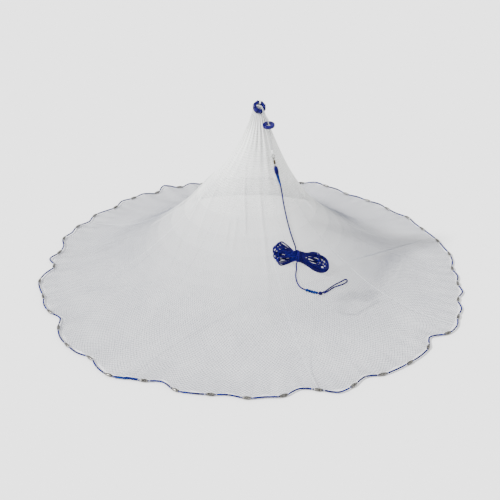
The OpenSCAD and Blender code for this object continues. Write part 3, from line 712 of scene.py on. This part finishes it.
piece = Piece()
core = smooth(on_net(SPLICE_ROUTE), 1.5)
swell = np.minimum(1, np.minimum(along(core), along(core)[-1] - along(core)) / 6 + 0.35)
for start in (0, 180):
    piece.tube(helix(core, 3.4 * swell, 2.6, start), 2.9 * np.sqrt(swell), 9)
wrist_splice = piece.make("wrist_splice_rope", "root", SPLICE)
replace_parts(wrist_splice, "wrist_splice")

piece = Piece()
core = smooth(on_net(KNOT_ROUTE), 1)
piece.tube(helix(core[2:-2], 5.0, 2.6, 30), 2.7, 9)
piece.tube(helix(core, [1.5, 5.6, 5.6, 1.5], 1.1, 200), 2.5, 9)
piece.tube(core, np.interp(np.linspace(0, 1, len(core)), [0, 0.3, 0.7, 1], [3, 5, 5, 3]), 12)
wrist_knot = piece.make("wrist_knot_rope", "root", ROPE)
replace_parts(wrist_knot, "wrist_knot")

# The eye round the swivel, and the whipping that binds its legs
piece = Piece()
legs = [(EYE_R + 0.6, EYE_TOP + 13), (4.6, EYE_TOP + 21), (2.8, EYE_TOP + 30)]
arc = [(-EYE_R * math.cos(t), EYE_TOP + EYE_R - EYE_R * math.sin(t)) for t in np.radians(range(0, 181, 20))]
eye = [(-y, z) for y, z in reversed(legs)] + arc + legs
piece.tube(smooth([in_swivel(0, y, z) for y, z in eye], 1.2), LINE_R, 12)
bind = np.stack([in_swivel(0, 0, EYE_TOP + z) for z in (6, 12, 19, 26, 31)])
core = spaced(bind, 1)
core_r = np.interp(np.linspace(0, 1, len(core)), [0, 0.15, 0.6, 1], [3.0, 5.2, 5.0, 4.4])
wider = (SWIVEL_SIDE, 1.25)
piece.tube(core, core_r, 14, oval=wider)
for start in (0, 120, 240):
    strand = helix(bind, [5.2, 6, 6.2, 5.8, 5], 3.2, start, oval=wider, first=SWIVEL_OUT, step=1)
    piece.tube(strand, 1.8, 7)
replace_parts(piece.make("eye_splice_rope", "root", ROPE), "eye_splice")


# ---- Netting --------------------------------------------------------------------------------------
BAR, STRAND_R, CELLS = 10, 0.45, 44  # a mesh's side, a strand's radius, and the meshes across a gore
TOP_U, LOW_U = 0.012, 0.99


def girth(u):
    """The cone's length round at u."""
    a = np.arange(0, 360, 15)
    return math.pi * np.linalg.norm(cad_net(a, u) - cad_net(a + 180, u), axis=1).mean()


def mesh_rows():
    """u of each row of knots: the meshes have bars of one length, so they close up where the cone narrows."""
    rows = [TOP_U]
    while rows[-1] < 0.992:
        u = rows[-1]
        down = math.sqrt(BAR**2 - (girth(u) / GORES / CELLS / 2) ** 2)
        rows.append(u + down * 0.001 / np.linalg.norm(cad_net(-90, u + 0.001) - cad_net(-90, u)))
    return vec(*rows)


def edge(a, u):
    """u drawn in between the lashings, which hold the netting's edge beside the sinkers."""
    scallop = 0.006 * (1 - np.abs(np.cos(np.radians((a - FIRST_SINKER) * SINKERS / 2))))
    return u * (1 - scallop * u**20)


rows = mesh_rows()
rows *= LOW_U / rows[-1]
row, cell = np.meshgrid(np.arange(len(rows)), np.arange(CELLS + 1), indexing="ij")
for gore in range(GORES):
    start = FIRST_SEAM + gore * 360 / GORES
    a = start + np.minimum(cell + row % 2 / 2, CELLS) / CELLS * 360 / GORES
    knots = net(a, edge(a, rows[row]))
    upper, lower = knots[:-1], knots[1:]
    even = np.arange(len(rows) - 1) % 2 == 0
    pairs = [
        (upper[:, :-1], lower[:, :-1]),
        (upper[even, 1:], lower[even, :-1]),
        (upper[~even, :-1], lower[~even, 1:]),
    ]
    tops, feet = (np.concatenate([pair[k].reshape(-1, 3) for pair in pairs]) for k in (0, 1))
    band = np.searchsorted(STRETCHES, rows[:-1])[:, None] * np.ones((1, CELLS), int)
    stretch = np.concatenate([band.ravel(), band[even].ravel(), band[~even].ravel()])
    way = unit(feet - tops)
    side = unit(np.cross(way, vec(0.1, 0.2, 1)))
    up = np.cross(side, way)
    corner = [STRAND_R * (math.cos(t) * side + math.sin(t) * up) for t in np.radians([-30, 90, 210])]
    points = np.stack([tops + c for c in corner] + [feet + c for c in corner], axis=1).reshape(-1, 3)
    bar = np.array([[0, 1, 4, 3], [1, 2, 5, 4], [2, 0, 3, 5]])
    faces = (np.arange(len(tops))[:, None, None] * 6 + bar[None]).reshape(-1, 4)
    piece = Piece()
    piece.add(points, faces, np.zeros((faces.size, 2)))
    strands = piece.make("netting_strands_%d" % (gore + 1), "root", STRANDS[0])
    for material in STRANDS[1:]:
        strands.data.materials.append(material)
    strands.data.polygons.foreach_set("material_index", np.repeat(stretch, 3).astype(np.int32))

    piece = Piece()
    down = np.concatenate([np.linspace(TOP_U, 0.12, 14), np.linspace(0.135, LOW_U, 58)])
    a, u = np.meshgrid(start + np.linspace(0, 360 / GORES, 46), down)
    points = net(a, edge(a, u))
    piece.grid(points)
    cloth = piece.make("netting_gore_%d" % (gore + 1), "root", FILM)
    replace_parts(cloth, "netting_panel_%d" % (gore + 1))

# The lacing down each seam: two edge cords, and a thread wound over them
piece = Piece()
for s in range(GORES):
    a = FIRST_SEAM + s * 360 / GORES
    u = np.linspace(TOP_U, 0.985, 420)
    line = spaced(net(np.full(u.shape, a), u), 3.2)
    far = along(line)
    out = cad_normal(a, np.interp(far, np.linspace(0, far[-1], len(u)), u))
    side = unit(np.cross(tangents(line), out))
    wave = np.sin(2 * math.pi * far / 14)[:, None]
    piece.tube(line + 0.9 * side, 0.45, 4)
    piece.tube(line - 0.9 * side, 0.45, 4)
    piece.tube(line + 1.3 * wave * side + 0.5 * np.abs(wave) * out, 0.45, 4)
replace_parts(piece.make("seam_lacing_cord", "root", LACING), "seam_lacing")

# ---- Hem ------------------------------------------------------------------------------------------
corners = []
for k in range(SINKERS):
    corners += [hem_point(k - 1, 1)] + [hem_point(k, f) for f in (0, 0.25, 0.5, 0.75)]
lead_path = smooth(corners, 3, closed=True)[:-1]
piece = Piece()
piece.tube(lead_path, LEAD_R, 10, closed=True, lobes=(3, 0.12, 22))
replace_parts(piece.make("lead_line_rope", "root", LEAD_ROPE), "lead_line")

JOIN = 29  # the lead line's two ends are joined in the gap after this sinker
piece = Piece()
middle = np.stack([hem_point(JOIN, f) for f in (0.06, 0.25, 0.45, 0.55, 0.75, 0.94)])
out = unit(middle * vec(1, 1, 0))
piece.tube(smooth(middle[:4] + out[:4] * vec(4.4, 5.0, 4.6, 1.0)[:, None], 1.5), 2.4, 9)
piece.tube(smooth(middle[2:] - out[2:] * vec(1.0, 4.6, 5.0, 4.4)[:, None], 1.5), 2.4, 9)
piece.tube(helix(spaced(middle[2:4], 1), 3.9, 2.6, 20), 2.1, 8)
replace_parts(piece.make("lead_line_join_rope", "root", SPLICE), "lead_line_join")


def lashing(piece, low, high, distance, turns=3, lift=0.55):
    """Turns of thread round the lead line, and its tail to the netting's edge."""
    way = unit(high - low)
    at = low + way * distance
    r = LEAD_R + lift
    piece.tube(helix(np.stack([at - way * 1.9, at + way * 1.9]), r, turns, 90, step=0.35), lift, 5)
    a = math.degrees(math.atan2(at[1], at[0]))
    inner = net(np.array([a]), np.array([0.9865]))[0]
    top = at + vec(0, 0, r)
    middle = (top + inner) / 2 + vec(0, 0, 1.2)
    piece.tube(smooth([top, middle, inner], 2), 0.4, 4)


piece = Piece()
for k in range(SINKERS):
    lashing(piece, hem_point(k, 0), hem_point(k, 0.25), 4)
    lashing(piece, hem_point(k, 1), hem_point(k, 0.75), 4)
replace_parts(piece.make("hem_lashing_threads", "root", THREAD), "hem_lashings")
piece = Piece()
for j in range(SINKERS // 4):
    lashing(piece, hem_point(4 * j, 0.5), hem_point(4 * j, 0.75), 0, turns=4, lift=0.6)
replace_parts(piece.make("brail_tie_threads", "root", THREAD), "brail_ties")

# ---- Brail lines ----------------------------------------------------------------------------------
SPREADER_AT = off_cad_net(-51.5, 0.034, 29)
KNOT_LOW, KNOT_L = in_swivel(0, 0, -33.6), 14  # where the brail lines' knot ends, above the swivel
SLIDE_WAY = unit(KNOT_LOW - SPREADER_AT)
KNOT_AT = KNOT_LOW - KNOT_L * SLIDE_WAY
OFF_RIM = unit(vec(0.357, -0.638, -0.685))
# The bundle of brail lines: up through the horn, over its rim, down through the spreader to the knot
BUNDLE = np.stack([
    vec(NECK_LEAN - 4, 0, CONE_H - 32), HORN_AT - 14 * HORN_AXIS, HORN_AT,
    HORN_AT + 10 * HORN_AXIS + OFF_RIM, HORN_AT + 17 * HORN_AXIS + 7 * OFF_RIM,
    HORN_AT + 19 * HORN_AXIS + 17 * OFF_RIM, HORN_AT + 17 * HORN_AXIS + 27 * OFF_RIM,
    HORN_AT + 9 * HORN_AXIS + 35 * OFF_RIM, SPREADER_AT - 24 * SLIDE_WAY, SPREADER_AT,
    (SPREADER_AT + KNOT_AT) / 2, KNOT_AT - 0.2 * SLIDE_WAY,
])
BUNDLE_R = vec(7, 6, 4.5, 2.8, 2.2, 2, 2, 2, 2, 2, 2.2, 2.8)
BRAIL_ROWS = [0.98, 0.97, 0.9, 0.8, 0.71, 0.62, 0.53, 0.45, 0.38, 0.31, 0.24, 0.18, 0.13, 0.09, 0.06, 0.045]
BRAIL_DROP = 4.3  # the lines' middles under the netting's
bundle_t = tangents(BUNDLE)
bundle_x = carried(bundle_t, HORN_X)
bundle_y = np.cross(bundle_t, bundle_x)
piece = Piece()
for j in range(SINKERS // 4):
    a = FIRST_SINKER + PITCH * (4 * j + 0.5)
    tie = hem_point(4 * j, 0.5) * (1 - 5.0 / hem_r(a))
    turn = math.radians(360 * j / 11 + FIRST_SINKER + PITCH / 2)
    in_bundle = BUNDLE + BUNDLE_R[:, None] * (math.cos(turn) * bundle_x + math.sin(turn) * bundle_y)
    under_net = cad_net(a, BRAIL_ROWS) - BRAIL_DROP * cad_normal(a, BRAIL_ROWS)
    under_net[:, 2] = np.maximum(under_net[:, 2], 1.2)
    route = np.concatenate([[vec(tie[0], tie[1], 4)], under_net, in_bundle])
    piece.tube(smooth(route, 4), 0.48, 6, lobes=(3, 0.2, 9))
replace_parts(piece.make("brail_line_cords", "root", BRAIL), "brail_lines")

piece = Piece()
knot = np.stack([KNOT_AT + x * SLIDE_WAY for x in (0.5, 3, 7, 10.5, 13.5)])
piece.tube(spaced(knot, 1), np.interp(np.linspace(0, 1, 14), [0, 0.2, 0.7, 1], [3.6, 4.4, 3.9, 2.0]), 14)
for start, turns in ((0, 4.5), (180, 4.5), (60, -2)):
    piece.tube(helix(knot, [4.1, 4.6, 4.5, 3.6, 2.2], turns, start, first=vec(1, 0, 0), step=0.8), 0.85, 6)
LINK_Z = -32.5  # where the knot's two turns grip the swivel's ring
for side in (-0.8, 0.8):
    ring = [in_swivel(3 * math.cos(t), side, LINK_Z + 3 * math.sin(t)) for t in np.radians(range(0, 360, 15))]
    piece.tube(ring, 0.75, 6, closed=True)
brail_knot = piece.make("brail_knot_thread", "root", THREAD)
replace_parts(brail_knot, "brail_knot")

# ---- Horn lashing: two turns through each hole, and a wider binding through the bore ---------------
HORN_HOLES, HOLE_R = 8, 18.7  # the holes, and a turn's inner side


def horn_turn(piece, angle, aside, inner, outer, half, wire, bend=2.4):
    """One turn of thread round the horn's rim, between two distances from its axis."""
    x = HORN_X * math.cos(angle) + HORN_Y * math.sin(angle)
    side = np.cross(HORN_AXIS, x)
    corners = []
    for quarter in range(4):
        cx = outer - bend if quarter in (0, 3) else inner + bend
        cz = half - bend if quarter < 2 else bend - half
        for t in np.radians(90 * quarter + np.array([0, 30, 60, 90])):
            out, up = cx + bend * math.cos(t), cz + bend * math.sin(t)
            corners.append(HORN_AT + out * x + up * HORN_AXIS + aside * side)
    piece.tube(smooth(corners, 1.2, closed=True)[:-1], wire, 6, closed=True)


piece = Piece()
for aside in (-0.65, 0.65):
    for k in range(HORN_HOLES):
        horn_turn(piece, 2 * math.pi * (k + 0.5) / HORN_HOLES, aside, HOLE_R, 25.9, 9.9, 0.6, 1.8)
piece.make("horn_hole_threads", "root", NAVY)
piece = Piece()
for aside in np.arange(-2.1, 2.2, 1.4):
    horn_turn(piece, math.pi / 2, aside, 12, 26.1, 10.1, 0.75)
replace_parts(piece.make("horn_lashing_threads", "root", THREAD), "horn_lashing")

# ---- CAD pieces whose shape is right ---------------------------------------------------------------
for name, material in {
    "horn_ring": PLASTIC, "spreader_ring": PLASTIC, "sinkers": LEAD, "swivel_ring": STEEL,
    "swivel_upper_eye": BRASS, "swivel_barrel": BRASS, "swivel_lower_eye": PALE,
}.items():
    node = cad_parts[name]
    node.data.materials.clear()
    node.data.materials.append(material)

# ---- Studio ----------------------------------------------------------------------------------------
FLOOR_HALF, SKY, SUN = 60, 1.7, 7  # metres, and the two lights' strengths
corners = [(FLOOR_HALF * x, FLOOR_HALF * y, -METRE) for x, y in ((-1, -1), (1, -1), (1, 1), (-1, 1))]
floor_mesh = bpy.data.meshes.new("studio_floor")
floor_mesh.from_pydata(corners, [], [(0, 1, 2, 3)])
floor = bpy.data.objects.new("studio_floor", floor_mesh)
bpy.context.scene.collection.objects.link(floor)
paper = Look("studio_paper", 0.9, Specular_IOR_Level=0.1)
paper.set("Base Color", (0.92, 0.92, 0.92))
floor_mesh.materials.append(paper.material)

world = bpy.data.worlds.new("studio_sky")
world.use_nodes = True
world.node_tree.nodes["Background"].inputs[0].default_value = (1, 1, 1, 1)
world.node_tree.nodes["Background"].inputs[1].default_value = SKY
bpy.context.scene.world = world
key = bpy.data.objects.new("key_light", bpy.data.lights.new("key_light", "SUN"))
bpy.context.scene.collection.objects.link(key)
key.data.energy = SUN
key.data.angle = math.radians(5)
key.rotation_euler = Vector((-0.811, -0.27, 0.73)).to_track_quat("Z", "Y").to_euler()
